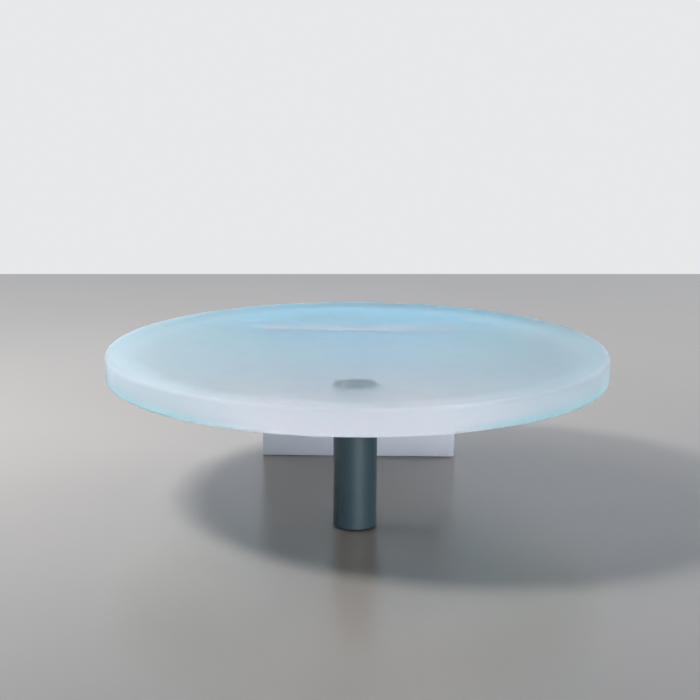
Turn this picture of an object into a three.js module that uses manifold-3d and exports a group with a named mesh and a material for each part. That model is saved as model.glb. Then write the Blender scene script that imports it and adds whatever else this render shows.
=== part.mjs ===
// Round coffee table: a thick cast-resin disc on a steel tube leg at the front and a resin slab leg at the back.
// Millimetres, +Z up. The origin is on the floor under the disc's centre. -Y is the front.

import * as THREE from 'three';
import { mergeVertices } from 'three/addons/utils/BufferGeometryUtils.js';
import Module from 'manifold-3d';

// Whole table
const tableHeight = 350;
const topDiameter = 1220;
const topThickness = 65;
const topEdgeRadius = 10; // on the disc's upper and lower edge
const legOffset = 310; // from the disc's centre to the tube's axis, towards the front
const slabOffset = 315; // from the disc's centre to the middle of the slab, towards the back
const seatGap = 0.3; // between two faces that touch, are glued, welded or screwed together

// Steel tube leg
const legDiameter = 100;
const legWall = 3;
const legEndChamfer = 0.8;
const gasketThickness = 1.5;
const topPlateThickness = 8;
const screwEdgeDistance = 18; // from the top plate's rim to the middle of a screw

// Screws, washers and inserts that hold the tube leg to the disc
const screwCount = 4;
const screwDiameter = 8;
const screwLength = 30;
const screwHeadDiameter = 13;
const screwHeadHeight = 8;
const screwHeadChamfer = 0.6;
const screwSocketWidth = 6; // across the flats
const screwSocketDepth = 4;
const screwTipChamfer = 1.2;
const screwHoleClearance = 0.5; // all round a screw in the top plate and in the gasket
const washerDiameter = 15;
const washerThickness = 1.6;
const insertDiameter = 12.4;
const insertLength = 18;
const insertGrooveDepth = 0.8;
const insertRimHeight = 2;
const insertBandHeight = 5; // each of the two bands that grip the resin
const insertHoleRoom = 4; // past the insert or the screw's tip, whichever reaches further

// Moulded end cap that is pushed into the tube's lower end, and its felt
const legFeltThickness = 3;
const legFeltMargin = 5; // rim of the cap outside the felt
const capRecessDepth = 0.8; // the rim reaches down past the felt's upper face by this much
const capFloorThickness = 4;
const capHeight = 24;
const capSkirtWall = 2.4;
const capSideGap = 1.3; // between the cap's skirt and the tube's bore
const capGripCount = 12; // crush ribs outside the skirt
const capGripWidth = 2.4;
const capGripDrop = 4; // how far below the skirt's upper edge a crush rib stops
const capWebCount = 6; // stiffening webs inside the skirt
const capWebThickness = 2;
const capWebHeight = 11;
const capHubDiameter = 16;
const capHubBore = 6; // takes a puller, to draw the cap out again
const capHubBoreDepth = 8;

// Resin slab leg
const slabWidth = 500;
const slabThickness = 65;
const slabCornerRadius = 10; // on its four upright edges
const slabFootRadius = 4; // round its lower face
const slabFeltThickness = 2.4;
const slabFeltLength = 130;
const slabFeltInset = 12; // from the slab's sides to its felt
const slabFeltCornerRadius = 8;

// Clear dowels between the slab and the disc
const dowelCount = 3;
const dowelEndDistance = 80; // from the slab's end to the middle of its outer dowel
const dowelDiameter = 16;
const dowelLength = 56;
const dowelChamfer = 1.5;
const dowelHoleRoom = 2; // past each end of a dowel

// Facets
const discFacets = 128;
const tubeFacets = 72;
const plateFacets = 48;
const smallFacets = 20;
const insertFacets = 16;
const edgeSteps = 5;

const cutOverrun = 1; // how far a cutting tool runs past the face that it cuts

// Heights and radii that follow from the sizes above
const underside = tableHeight - topThickness;
const topRadius = topDiameter / 2;
const legRadius = legDiameter / 2;
const boreRadius = legRadius - legWall;
const plateRadius = boreRadius - seatGap;
const gasketTop = underside - seatGap;
const gasketBottom = gasketTop - gasketThickness;
const legTop = gasketBottom - seatGap;
const topPlateBottom = legTop - topPlateThickness;
const washerTop = topPlateBottom - seatGap;
const washerBottom = washerTop - washerThickness;
const screwSeat = washerBottom - seatGap;
const screwTip = screwSeat + screwLength;
const screwCircle = plateRadius - screwEdgeDistance;
const screwRadius = screwDiameter / 2;
const screwHoleRadius = screwRadius + screwHoleClearance;
const threadRadius = screwRadius + seatGap;
const insertRadius = insertDiameter / 2;
const insertTop = underside + insertLength;
const insertHoleTop = Math.max(insertTop, screwTip) + insertHoleRoom;
const capRecessTop = legFeltThickness + seatGap;
const capBottom = capRecessTop - capRecessDepth;
const capFloorTop = capRecessTop + capFloorThickness;
const capTop = capBottom + capHeight;
const capSkirtRadius = boreRadius - capSideGap;
const capInnerRadius = capSkirtRadius - capSkirtWall;
const legFeltRadius = capSkirtRadius - legFeltMargin;
const slabBottom = slabFeltThickness + seatGap;
const slabTop = underside - seatGap;
const dowelRadius = dowelDiameter / 2;
const dowelHoleRadius = dowelRadius + seatGap;
const dowelMiddle = (underside + slabTop) / 2;
const dowelBottom = dowelMiddle - dowelLength / 2;
const dowelTop = dowelMiddle + dowelLength / 2;

const quarterTurn = Math.PI / 2;
const fullTurn = 2 * Math.PI;

const wasm = await Module();
wasm.setup();

// Closed mesh to solid, for joining and cutting
function toSolid(geometry) {
  const bare = geometry.clone();
  bare.deleteAttribute('normal');
  bare.deleteAttribute('uv');
  const merged = mergeVertices(bare);
  return new wasm.Manifold(
    new wasm.Mesh({
      numProp: 3,
      vertProperties: merged.attributes.position.array,
      triVerts: new Uint32Array(merged.index.array),
    }),
  );
}

// Solid back to a mesh with flat facets
function toGeometry(solid) {
  const mesh = solid.getMesh();
  const geometry = new THREE.BufferGeometry();
  geometry.setAttribute('position', new THREE.BufferAttribute(mesh.vertProperties, 3));
  geometry.setIndex(new THREE.BufferAttribute(mesh.triVerts, 1));
  const faceted = geometry.toNonIndexed();
  faceted.computeVertexNormals();
  return faceted;
}

function cut(body, tools) {
  const solid = tools.map(toSolid).reduce((left, tool) => left.subtract(tool), toSolid(body));
  return toGeometry(solid);
}

function join(bodies) {
  const solid = bodies.map(toSolid).reduce((joined, body) => joined.add(body));
  return toGeometry(solid);
}

// A profile of [radius, height] pairs turned about Z, listed down the outside and then back up the inside
function turned(profile, facets) {
  const points = profile.map(([radius, height]) => new THREE.Vector2(radius, height)).reverse();
  return new THREE.LatheGeometry(points, facets).rotateX(quarterTurn);
}

// An arc as [radius, height] pairs
function arc(centreRadius, centreHeight, radius, from, to) {
  return Array.from({ length: edgeSteps + 1 }, (_, i) => {
    const angle = from + ((to - from) * i) / edgeSteps;
    return [centreRadius + radius * Math.cos(angle), centreHeight + radius * Math.sin(angle)];
  });
}

// A plain round bar along Z
function bar(radius, bottom, top, facets) {
  return turned([[0, top], [radius, top], [radius, bottom], [0, bottom]], facets);
}

// A ring with square edges
function ring(outer, inner, bottom, top, facets) {
  return turned([[outer, top], [outer, bottom], [inner, bottom], [inner, top], [outer, top]], facets);
}

// Copies of a geometry turned round Z by equal steps
function roundPattern(geometry, count) {
  return Array.from({ length: count }, (_, i) => geometry.clone().rotateZ((fullTurn * i) / count));
}

// Places of the screws round the tube's axis
const screwPlaces = Array.from({ length: screwCount }, (_, i) => {
  const angle = (fullTurn * (i + 0.5)) / screwCount;
  return [screwCircle * Math.cos(angle), screwCircle * Math.sin(angle)];
});

// Places of the dowels along the slab, evenly between the two outer ones
const dowelPlaces = Array.from({ length: dowelCount }, (_, i) => {
  const outer = slabWidth / 2 - dowelEndDistance;
  return dowelCount > 1 ? outer * ((2 * i) / (dowelCount - 1) - 1) : 0;
});

// A round plate with a clearance hole for each screw
function drilledPlate(radius, bottom, top) {
  const outline = new THREE.Shape().absarc(0, 0, radius, 0, fullTurn, false);
  for (const [x, y] of screwPlaces) {
    outline.holes.push(new THREE.Path().absarc(x, y, screwHoleRadius, 0, fullTurn, true));
  }
  const options = { depth: top - bottom, bevelEnabled: false, curveSegments: plateFacets / 2 };
  return new THREE.ExtrudeGeometry(outline, options).translate(0, 0, bottom);
}

// A rectangle with round corners, centred on the origin
function roundedRectangle(width, depth, radius) {
  const x = width / 2 - radius;
  const y = depth / 2 - radius;
  const outline = new THREE.Shape();
  outline.absarc(x, -y, radius, -quarterTurn, 0, false);
  outline.absarc(x, y, radius, 0, quarterTurn, false);
  outline.absarc(-x, y, radius, quarterTurn, 2 * quarterTurn, false);
  outline.absarc(-x, -y, radius, 2 * quarterTurn, 3 * quarterTurn, false);
  outline.closePath();
  return outline;
}

const materials = {
  topResin: new THREE.MeshStandardMaterial({ color: 0xa9c9d8, roughness: 0.45, metalness: 0 }),
  slabResin: new THREE.MeshStandardMaterial({ color: 0xb4bac6, roughness: 0.5, metalness: 0 }),
  clearAcrylic: new THREE.MeshStandardMaterial({ color: 0xe8f1f4, roughness: 0.1, metalness: 0 }),
  paintedSteel: new THREE.MeshStandardMaterial({ color: 0x3b4c54, roughness: 0.4, metalness: 0.2 }),
  zincSteel: new THREE.MeshStandardMaterial({ color: 0xa3a7ab, roughness: 0.35, metalness: 0.9 }),
  brass: new THREE.MeshStandardMaterial({ color: 0xb8964f, roughness: 0.35, metalness: 0.9 }),
  nylon: new THREE.MeshStandardMaterial({ color: 0x23272a, roughness: 0.6, metalness: 0 }),
  rubber: new THREE.MeshStandardMaterial({ color: 0x22282c, roughness: 0.8, metalness: 0 }),
  felt: new THREE.MeshStandardMaterial({ color: 0x3a3d40, roughness: 1, metalness: 0 }),
};

function piece(name, geometry, material) {
  const mesh = new THREE.Mesh(geometry, material);
  mesh.name = name;
  return mesh;
}

// The disc: round edges, and blind holes for the inserts over the tube and for the dowels over the slab
function tableTop() {
  const flat = topRadius - topEdgeRadius;
  const disc = turned(
    [
      [0, tableHeight],
      ...arc(flat, tableHeight - topEdgeRadius, topEdgeRadius, quarterTurn, 0),
      ...arc(flat, underside + topEdgeRadius, topEdgeRadius, 0, -quarterTurn),
      [0, underside],
    ],
    discFacets,
  );
  const mouth = underside - cutOverrun;
  const insertHole = bar(insertRadius + seatGap, mouth, insertHoleTop, insertFacets);
  const dowelHole = bar(dowelHoleRadius, mouth, dowelTop + dowelHoleRoom, smallFacets);
  const holes = [
    ...screwPlaces.map(([x, y]) => insertHole.clone().translate(x, y - legOffset, 0)),
    ...dowelPlaces.map((x) => dowelHole.clone().translate(x, slabOffset, 0)),
  ];
  return piece('top', cut(disc, holes), materials.topResin);
}

// The tube, with both ends eased on the outside
function legTube() {
  const eased = legRadius - legEndChamfer;
  const profile = [
    [eased, legTop],
    [legRadius, legTop - legEndChamfer],
    [legRadius, capBottom + legEndChamfer],
    [eased, capBottom],
    [boreRadius, capBottom],
    [boreRadius, legTop],
    [eased, legTop],
  ];
  return piece('leg_tube', turned(profile, tubeFacets), materials.paintedSteel);
}

// The plate that is welded into the tube, flush with its upper end
function legTopPlate() {
  const plate = drilledPlate(plateRadius, topPlateBottom, legTop);
  return piece('leg_top_plate', plate, materials.paintedSteel);
}

// The thin sheet that keeps the steel off the resin
function legGasket() {
  const sheet = drilledPlate(legRadius, gasketBottom, gasketTop);
  return piece('leg_gasket', sheet, materials.rubber);
}

// An insert: two bands that grip the resin, with a groove between them and one above the rim
function insert(name) {
  const groove = insertRadius - insertGrooveDepth;
  const lowerBand = underside + insertRimHeight + insertGrooveDepth;
  const upperBand = insertTop - insertBandHeight;
  const profile = [
    [threadRadius, insertTop],
    [groove, insertTop],
    [insertRadius, insertTop - insertGrooveDepth],
    [insertRadius, upperBand],
    [groove, upperBand],
    [groove, lowerBand + insertBandHeight],
    [insertRadius, lowerBand + insertBandHeight],
    [insertRadius, lowerBand],
    [groove, lowerBand],
    [groove, underside + insertRimHeight],
    [insertRadius, underside + insertRimHeight],
    [insertRadius, underside],
    [threadRadius, underside],
    [threadRadius, insertTop],
  ];
  return piece(name, turned(profile, insertFacets), materials.brass);
}

// A socket-head screw, head down because it is driven up from inside the tube
function screw(name) {
  const headBottom = screwSeat - screwHeadHeight;
  const headRadius = screwHeadDiameter / 2;
  const body = turned(
    [
      [0, screwTip],
      [screwRadius - screwTipChamfer, screwTip],
      [screwRadius, screwTip - screwTipChamfer],
      [screwRadius, screwSeat],
      [headRadius, screwSeat],
      [headRadius, headBottom + screwHeadChamfer],
      [headRadius - screwHeadChamfer, headBottom],
      [0, headBottom],
    ],
    smallFacets,
  );
  const socketCorner = screwSocketWidth / Math.sqrt(3);
  const socket = bar(socketCorner, headBottom - cutOverrun, headBottom + screwSocketDepth, 6);
  return piece(name, cut(body, [socket]), materials.zincSteel);
}

function washer(name) {
  const body = ring(washerDiameter / 2, threadRadius, washerBottom, washerTop, smallFacets);
  return piece(name, body, materials.zincSteel);
}

// The cap: a floor with a recess for the felt, a skirt with crush ribs, and a hub on webs
function endCap() {
  const shell = turned(
    [
      [capInnerRadius, capTop],
      [capSkirtRadius - capSkirtWall / 2, capTop],
      [capSkirtRadius, capTop - capSkirtWall],
      [capSkirtRadius, capBottom],
      [legFeltRadius + seatGap, capBottom],
      [legFeltRadius + seatGap, capRecessTop],
      [0, capRecessTop],
      [0, capFloorTop],
      [capInnerRadius, capFloorTop],
      [capInnerRadius, capTop],
    ],
    plateFacets,
  );
  const bite = capSkirtWall / 2; // how deep a rib or web is rooted in the skirt, the hub and the floor
  const gripReach = capSideGap - seatGap + bite;
  const gripHeight = capHeight - capGripDrop;
  const grip = new THREE.BoxGeometry(gripReach, capGripWidth, gripHeight).translate(
    capSkirtRadius - bite + gripReach / 2,
    0,
    capBottom + gripHeight / 2,
  );
  const hubRadius = capHubDiameter / 2;
  const webReach = capInnerRadius + bite - (hubRadius - bite);
  const web = new THREE.BoxGeometry(webReach, capWebThickness, capWebHeight + bite).translate(
    hubRadius - bite + webReach / 2,
    0,
    capFloorTop + (capWebHeight - bite) / 2,
  );
  const hubTop = capFloorTop + capWebHeight;
  const hub = bar(hubRadius, capFloorTop - bite, hubTop, smallFacets);
  const body = join([shell, hub, ...roundPattern(grip, capGripCount), ...roundPattern(web, capWebCount)]);
  const bore = bar(capHubBore / 2, hubTop - capHubBoreDepth, hubTop + cutOverrun, smallFacets);
  return piece('leg_end_cap', cut(body, [bore]), materials.nylon);
}

function legFelt() {
  return piece('leg_felt', bar(legFeltRadius, 0, legFeltThickness, plateFacets), materials.felt);
}

// The slab leg: round upright edges, an eased foot, a square upper face and a blind hole for each dowel
function slabLeg() {
  const body = new THREE.ExtrudeGeometry(roundedRectangle(slabWidth, slabThickness, slabCornerRadius), {
    depth: slabTop - slabBottom - slabFootRadius,
    bevelThickness: slabFootRadius,
    bevelSize: slabFootRadius,
    bevelOffset: -slabFootRadius,
    bevelSegments: edgeSteps,
    curveSegments: edgeSteps,
  }).translate(0, 0, slabBottom + slabFootRadius);
  const above = slabFootRadius + cutOverrun;
  const trim = new THREE.BoxGeometry(slabWidth + 2 * cutOverrun, slabThickness + 2 * cutOverrun, above);
  trim.translate(0, 0, slabTop + above / 2);
  const hole = bar(dowelHoleRadius, dowelBottom - dowelHoleRoom, slabTop + cutOverrun, smallFacets);
  const holes = dowelPlaces.map((x) => hole.clone().translate(x, 0, 0));
  return piece('slab_leg', cut(body, [trim, ...holes]), materials.slabResin);
}

// A dowel with both ends chamfered
function dowel(name) {
  const profile = [
    [0, dowelTop],
    [dowelRadius - dowelChamfer, dowelTop],
    [dowelRadius, dowelTop - dowelChamfer],
    [dowelRadius, dowelBottom + dowelChamfer],
    [dowelRadius - dowelChamfer, dowelBottom],
    [0, dowelBottom],
  ];
  return piece(name, turned(profile, smallFacets), materials.clearAcrylic);
}

function slabFelt(name) {
  const width = slabThickness - 2 * slabFeltInset;
  const outline = roundedRectangle(slabFeltLength, width, slabFeltCornerRadius);
  const options = { depth: slabFeltThickness, bevelEnabled: false, curveSegments: edgeSteps };
  return piece(name, new THREE.ExtrudeGeometry(outline, options), materials.felt);
}

// The tube leg and everything that stands on its axis
function tubeLegGroup() {
  const group = new THREE.Group();
  group.position.set(0, -legOffset, 0);
  group.add(legTube(), legTopPlate(), legGasket(), endCap(), legFelt());
  screwPlaces.forEach(([x, y], i) => {
    const stack = new THREE.Group();
    stack.position.set(x, y, 0);
    stack.add(insert(`leg_insert_${i + 1}`), screw(`leg_screw_${i + 1}`), washer(`leg_washer_${i + 1}`));
    group.add(stack);
  });
  return group;
}

// The slab leg, its dowels and its felts
function slabLegGroup() {
  const group = new THREE.Group();
  group.position.set(0, slabOffset, 0);
  group.add(slabLeg());
  dowelPlaces.forEach((x, i) => {
    const pin = dowel(`slab_dowel_${i + 1}`);
    pin.position.set(x, 0, 0);
    group.add(pin);
  });
  const feltPlace = slabWidth / 2 - slabFeltInset - slabFeltLength / 2;
  for (const [name, side] of [['slab_felt_left', -1], ['slab_felt_right', 1]]) {
    const pad = slabFelt(name);
    pad.position.set(side * feltPlace, 0, 0);
    group.add(pad);
  }
  return group;
}

const table = new THREE.Group();
table.name = 'coffee_table';
table.add(tableTop(), tubeLegGroup(), slabLegGroup());

export default table;
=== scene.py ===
# %% [markdown]
# # A round resin coffee table
#
# The table is a thick disc of frosted sky-blue resin on two legs: a painted steel tube in front and a
# wide slab of paler resin behind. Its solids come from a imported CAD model, which is loaded first and
# never changed. Every piece made below is put where its solid is, in metres, so nothing has to be fitted
# by eye.

# %% Load the frame
import math

import bmesh
import bpy
from mathutils import Matrix, Vector


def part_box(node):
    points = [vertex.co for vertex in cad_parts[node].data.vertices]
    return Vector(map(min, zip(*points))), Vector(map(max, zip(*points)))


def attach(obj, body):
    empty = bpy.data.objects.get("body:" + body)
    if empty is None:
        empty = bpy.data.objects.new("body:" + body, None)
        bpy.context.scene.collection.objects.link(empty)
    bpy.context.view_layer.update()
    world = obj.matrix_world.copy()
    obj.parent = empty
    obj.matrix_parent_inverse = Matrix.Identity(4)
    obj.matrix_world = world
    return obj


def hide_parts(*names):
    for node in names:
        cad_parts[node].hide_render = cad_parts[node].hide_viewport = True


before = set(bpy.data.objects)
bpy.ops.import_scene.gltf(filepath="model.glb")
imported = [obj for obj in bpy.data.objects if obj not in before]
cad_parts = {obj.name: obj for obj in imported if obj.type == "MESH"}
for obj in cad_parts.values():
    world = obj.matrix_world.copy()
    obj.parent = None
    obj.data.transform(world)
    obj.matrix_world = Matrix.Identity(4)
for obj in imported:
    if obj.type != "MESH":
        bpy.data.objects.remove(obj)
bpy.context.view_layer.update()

# %% [markdown]
# ## The camera
#
# The photo was taken from a little above table height with a long lens. The place and the lens were found
# by fitting the outline of the disc, the tube and the slab. A camera could be aimed with a constraint,
# but a written matrix keeps it where it was measured, also when something else moves.

# %% Camera
camera_place = Vector((0.06055, -4.63446, 1.34832))
camera_yaw = -0.01701
camera_pitch_down = 0.21294
camera_roll = 0.0049
lens_mm = 100.28
sensor_mm = 36.0


def camera_axes(yaw, pitch, roll):
    ahead = Vector((math.sin(yaw) * math.cos(pitch), math.cos(yaw) * math.cos(pitch), -math.sin(pitch)))
    level = Vector((math.cos(yaw), -math.sin(yaw), 0.0))
    above = level.cross(ahead)
    right = math.cos(roll) * level + math.sin(roll) * above
    up = math.cos(roll) * above - math.sin(roll) * level
    return right, up, -ahead


right, up, back = camera_axes(camera_yaw, camera_pitch_down, camera_roll)
camera_data = bpy.data.cameras.new("photo_camera")
camera_data.lens = lens_mm
camera_data.sensor_width = sensor_mm
camera = bpy.data.objects.new("photo_camera", camera_data)
camera.matrix_world = Matrix.Translation(camera_place) @ Matrix((right, up, back)).transposed().to_4x4()
bpy.context.scene.collection.objects.link(camera)
bpy.context.scene.camera = camera
print("camera looks along", tuple(round(c, 3) for c in -back))

# %% [markdown]
# ## Helpers for meshes
#
# Most pieces start as a few points or a create_ shape in a bmesh and are shaped by operators. These
# helpers hold the steps that come back in many pieces: stretching a cube, turning a profile, cutting a
# face open for round holes, drawing a knurl in, and handing the finished mesh over to the frame.

# %% Mesh helpers
mm = 0.001
full_turn = 2 * math.pi
merge_distance = 0.005 * mm
sharp_angle = math.radians(32)
hole_steps = 32
edge_steps = 8


def at(x=0.0, y=0.0, z=0.0):
    return Matrix.Translation((x, y, z))


def verts_of(geom):
    return [part for part in geom if isinstance(part, bmesh.types.BMVert)]


def edges_at(verts):
    """The edges that meet some points, each once and always in the same order."""
    return list(dict.fromkeys(edge for vert in verts for edge in vert.link_edges))


def rise(edge):
    return abs(edge.verts[0].co.z - edge.verts[1].co.z)


def level_edges(mesh):
    return [edge for edge in mesh.edges if rise(edge) < merge_distance]


def upright_edges(mesh):
    return [edge for edge in mesh.edges if rise(edge) > merge_distance]


def block(low, high):
    """A cube stretched to fill a box."""
    mesh = bmesh.new()
    bmesh.ops.create_cube(mesh, size=1.0)
    bmesh.ops.scale(mesh, vec=high - low, verts=mesh.verts[:])
    bmesh.ops.translate(mesh, vec=(low + high) / 2, verts=mesh.verts[:])
    return mesh


def raise_faces(mesh, height):
    """Extrudes a flat sheet upwards into a body."""
    raised = bmesh.ops.extrude_face_region(mesh, geom=mesh.faces[:])["geom"]
    bmesh.ops.translate(mesh, verts=verts_of(raised), vec=(0, 0, height))


def profile_points(mesh, points, closed=False):
    """Points of (radius, height) joined by edges, ready to be turned about Z."""
    corners = [mesh.verts.new((radius, 0.0, height)) for radius, height in points]
    edges = [mesh.edges.new(pair) for pair in zip(corners, corners[1:])]
    if closed:
        edges.append(mesh.edges.new((corners[-1], corners[0])))
    return corners, edges


def round_corners(mesh, corners, radius, segments):
    """Rounds corners of a flat profile, and leaves the rest of it as it was."""
    bmesh.ops.bevel(
        mesh, geom=corners, offset=radius, offset_type="OFFSET", segments=segments,
        profile=0.5, affect="VERTICES", material=-1, clamp_overlap=False,
    )


def turn(mesh, steps):
    """Turns everything drawn so far about Z into a closed body."""
    drawn = mesh.verts[:] + mesh.edges[:]
    bmesh.ops.spin(
        mesh, geom=drawn, cent=(0, 0, 0), axis=(0, 0, 1), angle=full_turn, steps=steps, use_merge=True,
    )
    bmesh.ops.remove_doubles(mesh, verts=mesh.verts[:], dist=merge_distance)


def bevel_edges(mesh, edges, radius, segments):
    return bmesh.ops.bevel(
        mesh, geom=edges, offset=radius, offset_type="OFFSET", segments=segments,
        profile=0.5, affect="EDGES", material=-1, clamp_overlap=True,
    )


def draw_out(mesh, rim, height, share=1.0):
    """Extrudes an open rim upwards, or down, and scales it about the axis. Gives the new rim."""
    made = bmesh.ops.extrude_edge_only(mesh, edges=rim)["geom"]
    verts = verts_of(made)
    bmesh.ops.translate(mesh, verts=verts, vec=(0, 0, height))
    bmesh.ops.scale(mesh, verts=verts, vec=(share, share, 1.0))
    return [part for part in made if isinstance(part, bmesh.types.BMEdge)
            and all(vert in verts for vert in part.verts)]


def blind_holes(mesh, face, circles):
    """Opens a flat face for circles of (x, y, radius, steps, depth) and moves each by its depth."""
    border = face.edges[:]
    height = face.calc_center_median().z
    bmesh.ops.delete(mesh, geom=[face], context="FACES_ONLY")
    mouths = []
    for x, y, radius, steps, depth in circles:
        ring = bmesh.ops.create_circle(
            mesh, cap_ends=False, radius=radius, segments=steps, matrix=at(x, y, height))
        mouths.append((edges_at(ring["verts"]), depth))
    all_edges = border + [edge for edges, depth in mouths for edge in edges]
    bmesh.ops.triangle_fill(mesh, use_beauty=True, use_dissolve=False, edges=all_edges)
    for edges, depth in mouths:
        bmesh.ops.edgeloop_fill(mesh, edges=draw_out(mesh, edges, depth))


def draw_in_knurl(mesh, verts, steps, share):
    """Draws every second upright row of points in, on a body turned in so many steps."""
    step = full_turn / steps
    rows = [vert for vert in verts
            if int((math.atan2(vert.co.y, vert.co.x) + full_turn) / step + 0.5) % 2]
    bmesh.ops.scale(mesh, verts=rows, vec=(share, share, 1.0))


def move_all(mesh, x=0.0, y=0.0, z=0.0):
    bmesh.ops.translate(mesh, verts=mesh.verts[:], vec=(x, y, z))


def middle_of(node):
    low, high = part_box(node)
    return (low + high) / 2


def finish_piece(name, mesh, material, nodes):
    """Closes the mesh, shades it, and lets it stand for its CAD nodes."""
    bmesh.ops.remove_doubles(mesh, verts=mesh.verts[:], dist=merge_distance)
    bmesh.ops.recalc_face_normals(mesh, faces=mesh.faces[:])
    data = bpy.data.meshes.new(name)
    mesh.to_mesh(data)
    open_edges = sum(1 for edge in mesh.edges if len(edge.link_faces) != 2)
    mesh.free()
    data.materials.append(material)
    data.shade_smooth()
    data.set_sharp_from_angle(angle=sharp_angle)
    piece = bpy.data.objects.new(name, data)
    bpy.context.scene.collection.objects.link(piece)
    even = piece.modifiers.new("even_shading", "WEIGHTED_NORMAL")
    even.keep_sharp = True
    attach(piece, "root")
    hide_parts(*nodes)
    print(name, len(data.polygons), "faces,", open_edges, "edges not shared by two faces")
    return piece


# %% [markdown]
# ## Helpers for materials
#
# A procedural material is a small tree of nodes. All of them start the same way: a Principled shader, an
# output, and Object coordinates, which are metres here because every piece lies at the origin. Effects
# that several materials share become node groups with named sockets.

# %% Material helpers
def add(tree, kind, **settings):
    node = tree.nodes.new(kind)
    for key, value in settings.items():
        setattr(node, key, value)
    return node


def new_material(name):
    material = bpy.data.materials.new(name)
    material.use_nodes = True
    tree = material.node_tree
    tree.nodes.clear()
    shader = add(tree, "ShaderNodeBsdfPrincipled")
    output = add(tree, "ShaderNodeOutputMaterial")
    tree.links.new(shader.outputs["BSDF"], output.inputs["Surface"])
    place = add(tree, "ShaderNodeTexCoord")
    return material, tree, shader, place.outputs["Object"]


def new_group(name, inputs, outputs):
    group = bpy.data.node_groups.new(name, "ShaderNodeTree")
    for label, kind, value in inputs:
        socket = group.interface.new_socket(label, in_out="INPUT", socket_type=kind)
        if value is not None:
            socket.default_value = value
    for label, kind in outputs:
        group.interface.new_socket(label, in_out="OUTPUT", socket_type=kind)
    return group, add(group, "NodeGroupInput"), add(group, "NodeGroupOutput")


def use_group(tree, group, **values):
    node = add(tree, "ShaderNodeGroup", node_tree=group)
    for label, value in values.items():
        socket = node.inputs[label.replace("_", " ")]
        if isinstance(value, bpy.types.NodeSocket):
            tree.links.new(value, socket)
        else:
            socket.default_value = value
    return node


def put(tree, source, target):
    tree.links.new(source, target)


def spread(tree, value, low, high, to_low=0.0, to_high=1.0, smooth=True):
    """Value from low to high becomes to_low to to_high, and stays there beyond."""
    node = add(tree, "ShaderNodeMapRange", interpolation_type="SMOOTHSTEP" if smooth else "LINEAR")
    put(tree, value, node.inputs["Value"])
    for label, number in (("From Min", low), ("From Max", high), ("To Min", to_low), ("To Max", to_high)):
        node.inputs[label].default_value = number
    return node.outputs["Result"]


def socket_called(items, label, kind):
    return next(item for item in items if item.name == label and item.type == kind)


def mix_colours(tree, share, first, second, blend="MIX"):
    """Blends two colours, each given as numbers or as a socket, by a share of 0 to 1."""
    node = add(tree, "ShaderNodeMix", data_type="RGBA", blend_type=blend)
    for label, kind, value in (("Factor", "VALUE", share), ("A", "RGBA", first), ("B", "RGBA", second)):
        socket = socket_called(node.inputs, label, kind)
        if isinstance(value, bpy.types.NodeSocket):
            put(tree, value, socket)
        else:
            socket.default_value = (*value, 1.0) if kind == "RGBA" else value
    return socket_called(node.outputs, "Result", "RGBA")


def colour_ramp(tree, value, stops):
    node = add(tree, "ShaderNodeValToRGB")
    put(tree, value, node.inputs["Fac"])
    ramp = node.color_ramp
    while len(ramp.elements) < len(stops):
        ramp.elements.new(0.5)
    for element, (position, colour) in zip(ramp.elements, stops):
        element.position = position
        element.color = (*colour, 1.0)
    return node.outputs["Color"]


def axes_of(tree, place):
    """The X, Y and Z of a place, as sockets that are picked by their letter."""
    node = add(tree, "ShaderNodeSeparateXYZ")
    put(tree, place, node.inputs["Vector"])
    return node.outputs


def maths(tree, operation, first, second=0.0):
    node = add(tree, "ShaderNodeMath", operation=operation)
    for socket, value in zip(node.inputs, (first, second)):
        if isinstance(value, bpy.types.NodeSocket):
            put(tree, value, socket)
        else:
            socket.default_value = value
    return node.outputs["Value"]


def bump(tree, height, distance, strength=1.0):
    node = add(tree, "ShaderNodeBump")
    node.inputs["Strength"].default_value = strength
    node.inputs["Distance"].default_value = distance
    put(tree, height, node.inputs["Height"])
    return node.outputs["Normal"]


# %% [markdown]
# ## Two effects that nearly every material shares
#
# Soft mottle is the slow, cloudy change in tone that keeps a cast, painted or pressed surface from
# looking like plain plastic. Fine pebble is the very small relief of frosting, powder paint or
# spark-eroded mould steel. Both are noise on Object coordinates, so they stay fixed to the piece when it
# moves. The functions below them make what most materials ask for: a drifting tone, a mottled colour and
# a pebbled normal.

# %% Shared node groups
mottle_group, start, end = new_group(
    "soft mottle",
    [("Place", "NodeSocketVector", None), ("Patch Size", "NodeSocketFloat", 0.1),
     ("Low", "NodeSocketFloat", 0.9), ("High", "NodeSocketFloat", 1.1)],
    [("Tone", "NodeSocketFloat")],
)
patches = maths(mottle_group, "DIVIDE", 1.0, start.outputs["Patch Size"])
clouds = add(mottle_group, "ShaderNodeTexNoise", noise_dimensions="3D")
clouds.inputs["Detail"].default_value = 3.0
clouds.inputs["Roughness"].default_value = 0.55
put(mottle_group, start.outputs["Place"], clouds.inputs["Vector"])
put(mottle_group, patches, clouds.inputs["Scale"])
tone = add(mottle_group, "ShaderNodeMapRange", interpolation_type="LINEAR")
tone.inputs["From Min"].default_value = 0.3
tone.inputs["From Max"].default_value = 0.7
put(mottle_group, clouds.outputs["Fac"], tone.inputs["Value"])
put(mottle_group, start.outputs["Low"], tone.inputs["To Min"])
put(mottle_group, start.outputs["High"], tone.inputs["To Max"])
put(mottle_group, tone.outputs["Result"], end.inputs["Tone"])

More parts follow.
